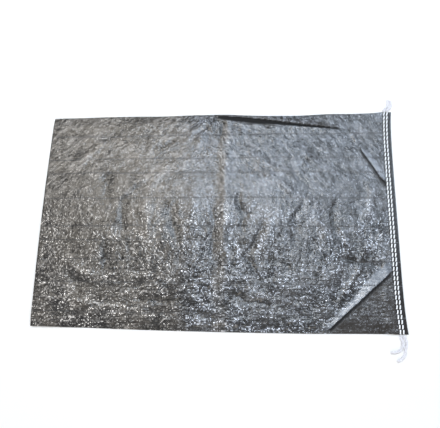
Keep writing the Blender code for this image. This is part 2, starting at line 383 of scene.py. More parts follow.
def hem_climb(x, side):
    """How far the tube has climbed onto the hem's underside."""
    flap_end = bottom_fold(side) - HEM_DEPTH
    return (BEND_Z + BEND_RADIUS) * smooth((x - (flap_end - 0.024)) / 0.023)


def bottom_layer(shares, sides):
    """Outer face of the layer that lies on the floor."""
    x, y, side = plan_place(shares, sides)
    wrinkle = 0.0011 * ridged(stretched_noise(x, y, 20, 0.06, 0.03, 91))
    wrinkle = wrinkle + 0.0005 * noise(x / 0.016, y / 0.016, 92)
    calm = smooth((0.99 - np.abs(side)) / 0.10) * smooth((0.355 - x) / 0.03)
    _, off, half = far_tuck(x, y)
    calm = calm * (1 - smooth((0.026 - np.abs(off)) / 0.010) * smooth(half / 0.0008))
    z = np.maximum(wrinkle, 0) * calm + floor_lift(x, y) * smooth((0.40 - x) / 0.05)
    return x, y, z + hem_climb(x, side)


def top_layer(shares, sides):
    """Outer face of the upper layer, creased and pleated."""
    x, y, side = plan_place(shares, sides)
    base = floor_lift(x, y) * smooth((0.40 - x) / 0.05) + hem_climb(x, side) + STACK
    in_hem = smooth((x - (bottom_fold(side) - HEM_DEPTH - 0.004)) / 0.006)
    from_crease = smooth((1 - np.abs(side)) / 0.10)
    from_mouth = 0.35 + 0.65 * smooth((x - MOUTH_X) / 0.03)
    air = air_gap(x, side)
    # the first weight, of the even slopes behind the pleats' lips, also gives those slopes a painted highlight in the
    # colour
    even_slope_highlight, slopes, bed = pleat_slopes(x, y)
    # the flat corner beyond the near pleat, whose colour is also darkened as painted shade
    corner = smooth((np.interp(x, *zip(*CORNER_EDGE)) - y) / 0.006) * smooth((x - 0.235) / 0.02)
    calm = np.maximum(even_slope_highlight, 0.55 * corner)
    folds, wrinkles, creases = soft_folds(x, y), crumple(x, y), short_creases(x, y, 1500, 7)
    # painted light and shade: this mark of how high the folds and creases stand lightens their crests and darkens their
    # hollows in the colour
    painted_relief_shading = folds / 0.0026 + 0.45 * wrinkles / 0.0012 + 0.45 * creases / 0.0006
    relief = 1.1 * folds + 0.7 * wrinkles + 0.8 * creases
    relief *= from_crease * from_mouth * (1 - 0.85 * in_hem) * (1 - 0.9 * calm) * (1 - 0.85 * bed)
    height = air + relief + 0.0012 * from_crease * (1 - in_hem)
    tucked, off, half = far_tuck(x, y)
    lips = 0.0016 * np.exp(-((off + half) / 0.011) ** 2) * (off < 0)
    lips = lips + 0.0034 * np.exp(-((off - half) / 0.006) ** 2) * (off >= 0)
    height = height + lips * smooth(half / 0.0020)
    height = np.where(height > 0.001, height, 0.001 * np.exp(np.minimum(height / 0.001 - 1, 0)))
    height *= smooth((1 - np.abs(side)) / 0.02) * (1 - in_hem) + in_hem * 0.12
    height = height * (1 - tucked) + 0.0002 * tucked
    from_fold = np.minimum(bottom_fold(side) - x, 0.020)
    z = base + height + hem_pucker(x, y) + HEM_SLOPE * np.maximum(from_fold, 0) * in_hem
    # the sewn hem strip, whose colour is also darkened almost to black as painted shade
    sewn = smooth((x - (bottom_fold(side) - OUTER_ROW_INSET - ROW_SPACING - 0.006)) / 0.004)
    # painted shade: the deep tuck's inside and the second tuck's line, turned near black in the colour
    shade = smooth((half + 0.0008 - np.abs(off)) / 0.0010 + 0.5) * smooth(half / 0.0008)
    shade = np.maximum(shade, 0.8 * fold_height(x, y, SECOND_TUCK, 0.0013))
    loose = smooth((1 - np.abs(side)) / 0.02) * (1 - smooth((x - (bottom_fold(side) - 0.023)) / 0.005))
    marks = (np.maximum(calm, sewn), even_slope_highlight, corner, sewn, np.clip(painted_relief_shading, -1.5, 1.5) * (1 - calm))
    return pleated(x, y, z + slopes * loose, loose, shade) + marks


def pleat_frame(x, y, pleat):
    """Distances along and across a pleat's line, how far it is open, and its slide and turn."""
    start, end, half, push = pleat[:4]
    a, b = np.array(start), np.array(end)
    run = np.linalg.norm(b - a)
    way = (b - a) / run
    along = (x - a[0]) * way[0] + (y - a[1]) * way[1]
    across = -(x - a[0]) * way[1] + (y - a[1]) * way[0]
    across = across + 0.0005 * noise(along / 0.04, along * 0, 33)
    taper = smooth(along / (0.12 * run) + 0.4) * smooth((run - along) / (0.12 * run) + 0.15)
    slide = np.where(np.abs(across) < half, -push * np.sin(math.pi * across / half), 0.0) * taper
    turn = half / math.pi * math.acos(min(half / (push * math.pi), 1.0))
    return way, along, across, taper, slide, turn


def pleat_slopes(x, y):
    """Weight of the even slopes behind the pleats' lips, their height, and where two layers touch."""
    share, height, bed = np.zeros(x.shape), np.zeros(x.shape), np.zeros(x.shape)
    for pleat in PLEATS:
        _, along, across, taper, slide, turn = pleat_frame(x, y, pleat)
        half, push, steep, lift, widths = pleat[2:]
        lip = push * math.sin(math.pi * turn / half) - turn
        above_foot = across + slide - lip + np.interp(along, *zip(*widths))
        fall = smooth((turn - across) / (2 * turn))
        rise = steep * np.clip(above_foot, 0, None) + lift * smooth(above_foot / 0.004 + 0.5)
        height = height + rise * fall * taper * (above_foot > -half)
        share = np.maximum(share, smooth(above_foot / 0.003 + 0.5) * smooth((turn - across) / turn) * taper)
        bed = np.maximum(bed, np.exp(-(across / half) ** 2) * taper)
    return share, height, bed


def pleated(x, y, z, loose, shade):
    """Folds the upper layer over itself along each pleat, and marks what lies under the lip for painted shade."""
    for pleat in PLEATS:
        way, _, across, taper, slide, turn = pleat_frame(x, y, pleat)
        slide = slide * loose
        x = x - way[1] * slide
        y = y + way[0] * slide
        under = smooth((across + 0.4 * turn) / turn) * smooth((pleat[2] * 1.05 - across) / 0.002)
        shade = np.maximum(shade, taper * loose * under)
    return x, y, z, shade


def crease_round(top_row, bottom_row, outwards, steps=3):
    """Points round a side crease, from the top layer's edge to the bottom layer's."""
    middle = (top_row + bottom_row) / 2
    arm = (top_row - bottom_row) / 2
    bulge = np.linalg.norm(arm, axis=1)[:, None]
    rows = []
    for step in range(1, steps + 1):
        angle = math.pi * step / (steps + 1)
        out = np.array([0.0, outwards, 0.0]) * bulge * math.sin(angle)
        rows.append(middle + arm * math.cos(angle) + out)
    return rows


class Shell:
    """Vertices and faces of one closed mesh, built up ring by ring."""

    def __init__(self):
        self.points = []
        self.faces = []
        self.count = 0

    def add(self, points):
        """Adds points and returns their numbers."""
        points = np.asarray(points, dtype=float)
        numbers = np.arange(self.count, self.count + len(points))
        self.points.append(points)
        self.count += len(points)
        return numbers

    def bridge(self, near_ring, far_ring, flip=False):
        """Quads between two closed rings of the same length."""
        for k in range(len(near_ring)):
            after = (k + 1) % len(near_ring)
            face = (near_ring[k], near_ring[after], far_ring[after], far_ring[k])
            self.faces.append(face[::-1] if flip else face)

    def mesh(self, name):
        """Blender mesh of all that was added."""
        data = bpy.data.meshes.new(name)
        points = np.concatenate(self.points)
        data.from_pydata(points.tolist(), [], [tuple(int(i) for i in f) for f in self.faces])
        data.update()
        return data


def rings_of(top, bottom):
    """Closed rings round the tube: top layer, near crease, bottom layer, far crease."""
    near_side = crease_round(top[:, -1], bottom[:, 0], -1)
    far_side = crease_round(bottom[:, -1], top[:, 0], 1)
    return np.concatenate([top, np.stack(near_side, 1), bottom, np.stack(far_side, 1)], axis=1)


def turned_under(top, bottom):
    """Rings round the bottom fold and along the hem's flap under the tube."""
    flap_depths = np.linspace(0.0, HEM_DEPTH, 11)
    turns = [math.pi * (0.5 - k / 7) for k in range(1, 7)]
    result = []
    for layer in (top, bottom):
        start = layer[-1]
        height = start[:, 2] - (BEND_Z + BEND_RADIUS)
        reach = BEND_RADIUS + np.clip(height, 0.0, STACK + 0.0012)
        centre_x = start[:, 0]
        rows = []
        for turn in turns:
            rows.append(np.stack([centre_x + reach * math.cos(turn), start[:, 1],
                                  BEND_Z + reach * math.sin(turn)], 1))
        for depth in flap_depths:
            flat = BEND_RADIUS + (reach - BEND_RADIUS) * (1 - smooth(depth / 0.006))
            flat = flat + smooth(depth / 0.006) * (0.0 if layer is bottom else STACK)
            x = centre_x - depth
            rows.append(np.stack([x, start[:, 1], BEND_Z - flat], 1))
        result.append(np.stack(rows, 0))
    return result


def lowest_nearby(layer, ring, ys):
    """Lowest height of a layer round each y, over the rings near one ring."""
    rows = layer[max(ring - COARSE, 0):ring + COARSE + 1]
    reach = 1.05 * np.abs(np.gradient(ys))
    apart = np.abs(rows[None, :, :, 1] - ys[:, None, None])
    inside = apart <= np.maximum(reach[:, None, None], apart.min(axis=(1, 2))[:, None, None] + 0.0001)
    return np.where(inside, rows[None, :, :, 2], np.inf).min(axis=(1, 2))


def build_sack():
    """The whole woven tube as one closed mesh: outer face, mouth edge and inside."""
    shares = tube_stations()
    even = np.linspace(1, -1, TOP_CELLS + 1)
    top_sides = (1 - CROWDING) * even + CROWDING * np.sin(math.pi / 2 * even)
    bottom_sides = top_sides[::-COARSE]
    *places, shade, calm, even_slope_highlight, corner, sewn, painted_relief_shading = top_layer(shares, top_sides)
    top = np.stack(places, 2)
    bottom = np.stack(bottom_layer(shares, bottom_sides), 2)
    top_flap, bottom_flap = turned_under(top, bottom)
    outer = rings_of(np.concatenate([top, top_flap]), np.concatenate([bottom, bottom_flap]))

    shell = Shell()
    rings = [shell.add(ring) for ring in outer]
    for a, b in zip(rings, rings[1:]):
        shell.bridge(a, b, flip=True)
    close_flap(shell, rings[-1])
    line_inside(shell, rings[0], outer[0], shares, top, bottom)
    data = shell.mesh("sack_fabric")
    close_up(data)
    for name, values, on_flap in (("fold_shade", shade, 0.0), ("calm", calm, 1.0), ("even_slope_highlight", even_slope_highlight, 0.0),
                                  ("corner", corner, 0.0), ("sewn", sewn, 1.0), ("painted_relief_shading", painted_relief_shading, 0.0)):
        whole = np.zeros(shell.count)
        in_rings = whole[:outer.shape[0] * outer.shape[1]].reshape(outer.shape[:2])
        in_rings[:len(values), :TOP_CELLS + 1] = values
        in_rings[len(values):] = on_flap
        data.attributes.new(name, "FLOAT", "POINT").data.foreach_set("value", whole)
    return data, top


def close_flap(shell, ring):
    """Cut edge of the hem's flap, between its two layers."""
    top = ring[:TOP_CELLS + 1]
    near_side = ring[TOP_CELLS + 1:TOP_CELLS + 4]
    bottom = ring[TOP_CELLS + 4:TOP_CELLS + 5 + BOTTOM_CELLS][::-1]
    far_side = ring[TOP_CELLS + 5 + BOTTOM_CELLS:]
    for k in range(BOTTOM_CELLS):
        fine = top[COARSE * k:COARSE * (k + 1) + 1]
        shell.faces.append((*fine[::-1], bottom[k], bottom[k + 1]))
    shell.faces.append((top[-1], bottom[-1], *near_side[::-1])[::1])
    shell.faces.append((bottom[0], top[0], *far_side[::-1])[::1])


POCKET_END = 0.285        # the hollow is left out beyond this, where the layers touch
POCKET_SIDE = 0.93        # and outside this share of the width


def line_inside(shell, mouth_ring, mouth_points, shares, top, bottom):
    """Inner faces of the two layers, from the mouth's edge to where they meet."""
    inner_edge = mouth_points.copy()
    inner_edge[:TOP_CELLS + 1, 2] -= WALL
    inner_edge[TOP_CELLS + 4:TOP_CELLS + 5 + BOTTOM_CELLS, 2] += WALL
    for first in (TOP_CELLS + 1, TOP_CELLS + 5 + BOTTOM_CELLS):
        crease = slice(first, first + 3)
        hub = (mouth_points[first - 1] + mouth_points[(first + 3) % len(mouth_points)]) / 2
        inner_edge[crease, 1:] = hub[1:] + (mouth_points[crease, 1:] - hub[1:]) * 0.15
    edge = shell.add(inner_edge)
    shell.bridge(mouth_ring, edge)

    rows = [i for i in range(COARSE, len(shares), COARSE) if top[i, TOP_CELLS // 2, 0] < POCKET_END]
    upside_down = bottom * (1, 1, -1)
    rings = []
    for i in rows:
        x, y = bottom[i, ::-1, 0], bottom[i, ::-1, 1] * POCKET_SIDE
        low = WALL - lowest_nearby(upside_down, i, y)
        high = np.maximum(lowest_nearby(top, i, y) - WALL, low + 0.00008)
        upper = np.stack([x, y, high], 1)
        lower = np.stack([x, y, low], 1)[::-1]
        near_end = crease_round(upper[-1:], lower[:1], -1)
        far_end = crease_round(lower[-1:], upper[:1], 1)
        rings.append(shell.add(np.concatenate([upper, *near_end, lower, *far_end])))
    first = rings[0]
    for k in range(BOTTOM_CELLS):
        fine = edge[COARSE * k:COARSE * (k + 1) + 1]
        shell.faces.append((*fine, first[k + 1], first[k]))
    tail_fine = list(edge[TOP_CELLS:]) + [edge[0]]
    tail_coarse = list(first[BOTTOM_CELLS:]) + [first[0]]
    for k in range(len(tail_fine) - 1):
        shell.faces.append((tail_fine[k], tail_fine[k + 1], tail_coarse[k + 1], tail_coarse[k]))
    for a, b in zip(rings, rings[1:]):
        shell.bridge(a, b)
    last = rings[-1]
    upper = last[:BOTTOM_CELLS + 1]
    lower = last[BOTTOM_CELLS + 4:2 * BOTTOM_CELLS + 5][::-1]
    for k in range(BOTTOM_CELLS):
        shell.faces.append((upper[k], upper[k + 1], lower[k + 1], lower[k]))
    shell.faces.append((upper[-1], *last[BOTTOM_CELLS + 1:BOTTOM_CELLS + 4], lower[-1]))
    shell.faces.append((lower[0], *last[2 * BOTTOM_CELLS + 5:], upper[0]))


def close_up(data):
    """Turns every face outwards and shades the mesh smooth."""
    work = bmesh.new()
    work.from_mesh(data)
    bmesh.ops.recalc_face_normals(work, faces=work.faces)
    work.to_mesh(data)
    work.free()
    data.shade_smooth()


def add_piece(name, data, material):
    """New piece of the object, riding on its only body."""
    data.materials.append(material)
    piece = bpy.data.objects.new(name, data)
    bpy.context.scene.collection.objects.link(piece)
    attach(piece, "root")
    return piece


PLIES = 3                 # strands twisted into the thread
PLY_DEPTH = 0.13          # how deep the grooves between them are
PLY_TURN = 0.0042         # length of one twist
THREAD_SIDES = 12


def thread_points(path, radius, flatten=1.0):
    """Rings of a twisted thread along a path."""
    path = np.asarray(path, dtype=float)
    ways = np.gradient(path, axis=0)
    ways /= np.linalg.norm(ways, axis=1)[:, None]
    travelled = np.concatenate([[0], np.cumsum(np.linalg.norm(np.diff(path, axis=0), axis=1))])
    up = np.array([0.0, 0.0, 1.0])
    if abs(ways[0][2]) > 0.9:
        up = np.array([1.0, 0.0, 0.0])
    rings = []
    for place, way, far in zip(path, ways, travelled):
        up = up - way * up.dot(way)
        up /= np.linalg.norm(up)
        across = np.cross(way, up)
        angles = np.arange(THREAD_SIDES) * 2 * math.pi / THREAD_SIDES
        twist = far / PLY_TURN * 2 * math.pi
        reach = radius * (1 - PLY_DEPTH * (0.5 - 0.5 * np.cos(PLIES * (angles - twist / PLIES))))
        rings.append(place + np.outer(reach * np.cos(angles), across)
                     + np.outer(reach * np.sin(angles) * flatten, up))
    return rings


def add_thread(shell, path, radius, flatten=1.0):
    """Adds one closed length of twisted thread with rounded ends."""
    path = [np.array(p, dtype=float) for p in path]
    rings = thread_points(path, radius, flatten)
    numbers = [shell.add(ring) for ring in rings]
    for a, b in zip(numbers, numbers[1:]):
        shell.bridge(a, b)
    for ring, numbers_here, inner, outer in ((rings[0], numbers[0], path[1], path[0]),
                                             (rings[-1], numbers[-1], path[-2], path[-1])):
        way = (outer - inner) / np.linalg.norm(outer - inner)
        tip = shell.add([outer + way * radius * 0.6])[0]
        for k in range(THREAD_SIDES):
            shell.faces.append((numbers_here[k], numbers_here[(k + 1) % THREAD_SIDES], tip))


def surface_height(top, x, y):
    """Height of the upper layer's nearest point."""
    gap = (top[:, :, 0] - x) ** 2 + (top[:, :, 1] - y) ** 2
    return top[:, :, 2].flat[int(np.argmin(gap))]


def row_x(side, inset):
    """X of a seam row at a side from -1 to 1."""
    return float(bottom_fold(side)) - inset


def build_stitch_row(name, inset, top, seed, material):
    """One row of the seam: stitches over the hem and looped thread under it."""
    shell = Shell()
    dice = np.random.default_rng(seed)
    radius = THREAD / 2
    reach = END_HALF_WIDTH + 0.0004
    holes = np.linspace(-reach, reach, STITCHES + 1)
    lean = 0.0009
    for first, second in zip(holes, holes[1:]):
        sway = dice.normal(0, 0.00018)
        first_x = row_x(first / reach, inset) - lean
        second_x = row_x(second / reach, inset) + lean
        rest = max(surface_height(top, first_x, y) for y in (first + 0.002, (first + second) / 2, second - 0.002))
        path = []
        for share, rise in ((0.115, -1.6), (0.12, -0.6), (0.145, 0.35), (0.20, 0.80), (0.32, 0.95),
                            (0.42, 1.0), (0.58, 1.0), (0.68, 0.95), (0.80, 0.80), (0.855, 0.35),
                            (0.88, -0.6), (0.885, -1.6)):
            y = first + (second - first) * share
            x = first_x + (second_x - first_x) * share + sway * math.sin(math.pi * share)
            path.append((x, y, rest + rise * radius * 0.85))
        add_thread(shell, path, radius * 1.2, 2.1)
    underside = []
    steps = STITCHES * 14
    for step in range(steps + 1):
        phase = 2 * math.pi * step / 14
        y = -reach + 2 * reach * step / steps + 0.0030 * math.sin(phase)
        x = row_x(y / reach, inset) + 0.0011 * math.sin(phase + 0.9)
        z = radius * (0.80 + 0.20 * math.cos(phase / 1.0))
        underside.append((x, min(max(y, -reach), reach), max(z, radius * 0.78)))
    add_thread(shell, underside, radius * 0.72)
    for end in (-1, 1):
        x = row_x(end, inset)
        crest = surface_height(top, x, end * END_HALF_WIDTH) + radius
        loop = []
        for step in range(13):
            angle = math.pi * (0.5 - step / 12)
            loop.append((x, end * (END_HALF_WIDTH + 0.0002 + 0.0014 * math.cos(angle)),
                         crest / 2 + radius * 0.55 + (crest / 2 - radius * 0.55) * math.sin(angle)))
        add_thread(shell, loop, radius)
    data = shell.mesh(name)
    close_up(data)
    piece = add_piece(name, data, material)
    return piece


def smooth_route(points, spacing):
    """Points at an even spacing along a smooth curve through the route's own points."""
    route = [np.array(p, dtype=float) for p in points]
    ends = [2 * route[0] - route[1]] + route + [2 * route[-1] - route[-2]]
    fine = []
    for a, b, c, d in zip(ends, ends[1:], ends[2:], ends[3:]):
        for step in range(20):
            t = step / 20
            fine.append(0.5 * (2 * b + (c - a) * t + (2 * a - 5 * b + 4 * c - d) * t ** 2
                               + (3 * b - a - 3 * c + d) * t ** 3))
    fine = np.array(fine + [route[-1]])
    travelled = np.concatenate([[0], np.cumsum(np.linalg.norm(np.diff(fine, axis=0), axis=1))])
    count = max(2, round(travelled[-1] / spacing))
    at = np.linspace(0, travelled[-1], count + 1)
    return np.stack([np.interp(at, travelled, fine[:, k]) for k in range(3)], 1)


def tail_routes():
    """Plan route of each loose thread end, the same as its solid's."""
    reach = END_HALF_WIDTH + 0.003025
    outer = FOLD_X + FLARE - OUTER_ROW_INSET
    inner = outer - ROW_SPACING
    return {
        "tail_front_outer": ((outer, -reach), (outer, -reach - 0.003), (0.3955, -0.2575),
                             (0.3970, -0.2630), (0.3957, -0.2695), (0.3938, -0.2760),
                             (0.3932, -0.2825), (0.3915, -0.2885), (0.3870, -0.2940),
                             (0.3815, -0.2980), (0.3765, -0.3010)),
        "tail_front_inner": ((inner, -reach), (inner, -reach - 0.003), (0.3878, -0.2590),
                             (0.3889, -0.2650), (0.3885, -0.2715), (0.3852, -0.2775),
                             (0.3795, -0.2815), (0.3725, -0.2835), (0.3655, -0.2840)),
        "tail_back_inner": ((inner, reach), (inner, reach + 0.003), (0.3886, 0.2565),
                            (0.3922, 0.2600), (0.3952, 0.2645), (0.3968, 0.2700), (0.3963, 0.2780)),
        "tail_back_outer": ((outer, reach), (outer, reach + 0.002), (0.3960, 0.2550),
                            (0.3998, 0.2575), (0.4023, 0.2620), (0.4030, 0.2680), (0.4016, 0.2770)),
    }


def build_tail(name, plan, seed, material):
    """Loose chain of looped thread lying on the floor."""
    dice = np.random.default_rng(seed)
    route = smooth_route([(x, y, TAIL_DIAMETER / 2) for x, y in plan], 0.0004)
    length = float(np.linalg.norm(np.diff(route, axis=0), axis=1).sum())
    ways = np.gradient(route, axis=0)
    ways /= np.linalg.norm(ways, axis=1)[:, None]
    across = np.stack([-ways[:, 1], ways[:, 0], np.zeros(len(ways))], 1)
    at = np.linspace(0, length, len(route))
    loops = at / 0.0052 * 2 * math.pi
    strand = THREAD * 0.5
    wide = TAIL_DIAMETER * 0.78 - strand
    shell = Shell()
    for part in range(6):
        phase = part * math.pi / 3 + dice.uniform(-0.3, 0.3)
        speed = 1.0 if part % 2 else 0.5
        sideways = wide * np.cos(loops * speed + phase) * (0.82 + 0.18 * np.sin(at / 0.011 + part))
        height = wide * 0.8 * np.sin(loops * speed * 2 + phase * 1.7)
        slide = 0.0013 * np.sin(2 * loops * speed + phase)
        path = route + across * sideways[:, None] + ways * slide[:, None]
        path[:, 2] = np.maximum(route[:, 2] + height, strand)
        add_thread(shell, path[::2], strand)
    data = shell.mesh(name)
    close_up(data)
    piece = add_piece(name + "_chain", data, material)
    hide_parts(name)
    even = smooth_route([(x, y, TAIL_DIAMETER / 2) for x, y in plan], length / 24)
    return piece


def new_material(name):
    """Empty Principled material, with its node tree and shader."""
    material = bpy.data.materials.new(name)
    material.use_nodes = True
    tree = material.node_tree
    return material, tree, tree.nodes["Principled BSDF"]


def feed(tree, socket, value):
    """Links a socket's value, or sets it when it is a number or a colour."""
    if isinstance(value, bpy.types.NodeSocket):
        tree.links.new(value, socket)
    else:
        socket.default_value = value


def calc(tree, operation, *values, clamp=False):
    """Math node on sockets or numbers."""
    maths = tree.nodes.new("ShaderNodeMath")
    maths.operation = operation
    maths.use_clamp = clamp
    for socket, value in zip(maths.inputs, values):
        feed(tree, socket, value)
    return maths.outputs[0]


def vector_calc(tree, operation, first, second=None):
    """Vector maths node on sockets or values."""
    maths = tree.nodes.new("ShaderNodeVectorMath")
    maths.operation = operation
    feed(tree, maths.inputs[0], first)
    if operation == "SCALE":
        feed(tree, maths.inputs["Scale"], second)
    elif second is not None:
        feed(tree, maths.inputs[1], second)
    return maths.outputs["Value" if operation == "DISTANCE" else "Vector"]


def ramp(tree, value, low, high, to_low=0.0, to_high=1.0):
    """Smooth map of a value from one range to another."""
    node = tree.nodes.new("ShaderNodeMapRange")
    node.interpolation_type = "SMOOTHSTEP"
    for socket, number in zip(node.inputs, (value, low, high, to_low, to_high)):
        feed(tree, socket, number)
    return node.outputs[0]


def cloudy(tree, place, scale, detail=3.0, stretch=(1.0, 1.0, 1.0), turn=0.0, output=0):
    """Noise texture at a scale in swells per metre: its value, or with output=1 its colour."""
    mapping = tree.nodes.new("ShaderNodeMapping")
    mapping.inputs["Scale"].default_value = stretch
    mapping.inputs["Rotation"].default_value = (0.0, 0.0, turn)
    tree.links.new(place, mapping.inputs["Vector"])
    texture = tree.nodes.new("ShaderNodeTexNoise")
    texture.inputs["Scale"].default_value = scale
    texture.inputs["Detail"].default_value = detail
    tree.links.new(mapping.outputs[0], texture.inputs["Vector"])
    return texture.outputs[output]


def facets(tree, place, angle):
    """Random lean of the small flats between the film's creases, which run at an angle."""
    lean = None
    for size, share in ((0.0024, 0.45), (0.0046, 0.60), (0.0110, 0.50)):
        mapping = tree.nodes.new("ShaderNodeMapping")
        mapping.vector_type = "TEXTURE"
        mapping.inputs["Rotation"].default_value = (0.0, 0.0, math.radians(angle))
        mapping.inputs["Scale"].default_value = (2.2, 0.8, 40.0)
        tree.links.new(place, mapping.inputs["Vector"])
        cells = tree.nodes.new("ShaderNodeTexVoronoi")
        cells.inputs["Scale"].default_value = 1 / size
        tree.links.new(mapping.outputs[0], cells.inputs["Vector"])
        part = vector_calc(tree, "SCALE", vector_calc(tree, "SUBTRACT", cells.outputs["Color"], (0.5, 0.5, 0.5)), share)
        lean = part if lean is None else vector_calc(tree, "ADD", lean, part)
    return lean


def attribute(tree, name):
    """Value that the mesh holds at each of its points."""
    node = tree.nodes.new("ShaderNodeAttribute")
    node.attribute_name = name
    return node.outputs["Fac"]


def blend_vectors(tree, share, first, second):
    """Mix of two vectors."""
    mix = tree.nodes.new("ShaderNodeMix")
    mix.data_type = "VECTOR"
    feed(tree, mix.inputs["Factor"], share)
    sockets = [socket for socket in mix.inputs if socket.type == "VECTOR" and socket.name in "AB"]
    feed(tree, sockets[0], first)
    feed(tree, sockets[1], second)
    return next(socket for socket in mix.outputs if socket.type == "VECTOR")


def blend_colours(tree, share, first, second):
    """Mix of two colours."""
    mix = tree.nodes.new("ShaderNodeMix")
    mix.data_type = "RGBA"
    feed(tree, mix.inputs["Factor"], share)
    feed(tree, mix.inputs["A"], first if not isinstance(first, tuple) else (*first, 1.0))
    feed(tree, mix.inputs["B"], second if not isinstance(second, tuple) else (*second, 1.0))
    return mix.outputs["Result"]


def tinted(tree, colour, tint):
    """Product of two colours."""
    mix = tree.nodes.new("ShaderNodeMix")
    mix.data_type = "RGBA"
    mix.blend_type = "MULTIPLY"
    mix.inputs["Factor"].default_value = 1.0
    feed(tree, mix.inputs["A"], colour)
    feed(tree, mix.inputs["B"], tint)
    return mix.outputs["Result"]


def bumped(tree, height, distance, strength, normal=None):
    """Bump from a height value."""
    bump = tree.nodes.new("ShaderNodeBump")
    bump.inputs["Distance"].default_value = distance
    feed(tree, bump.inputs["Strength"], strength)
    tree.links.new(height, bump.inputs["Height"])
    if normal is not None:
        tree.links.new(normal, bump.inputs["Normal"])
    return bump.outputs[0]


SLIT_LINES = (0.137, 0.102, 0.041, -0.024, -0.056, -0.100, 0.196, -0.150, -0.214)


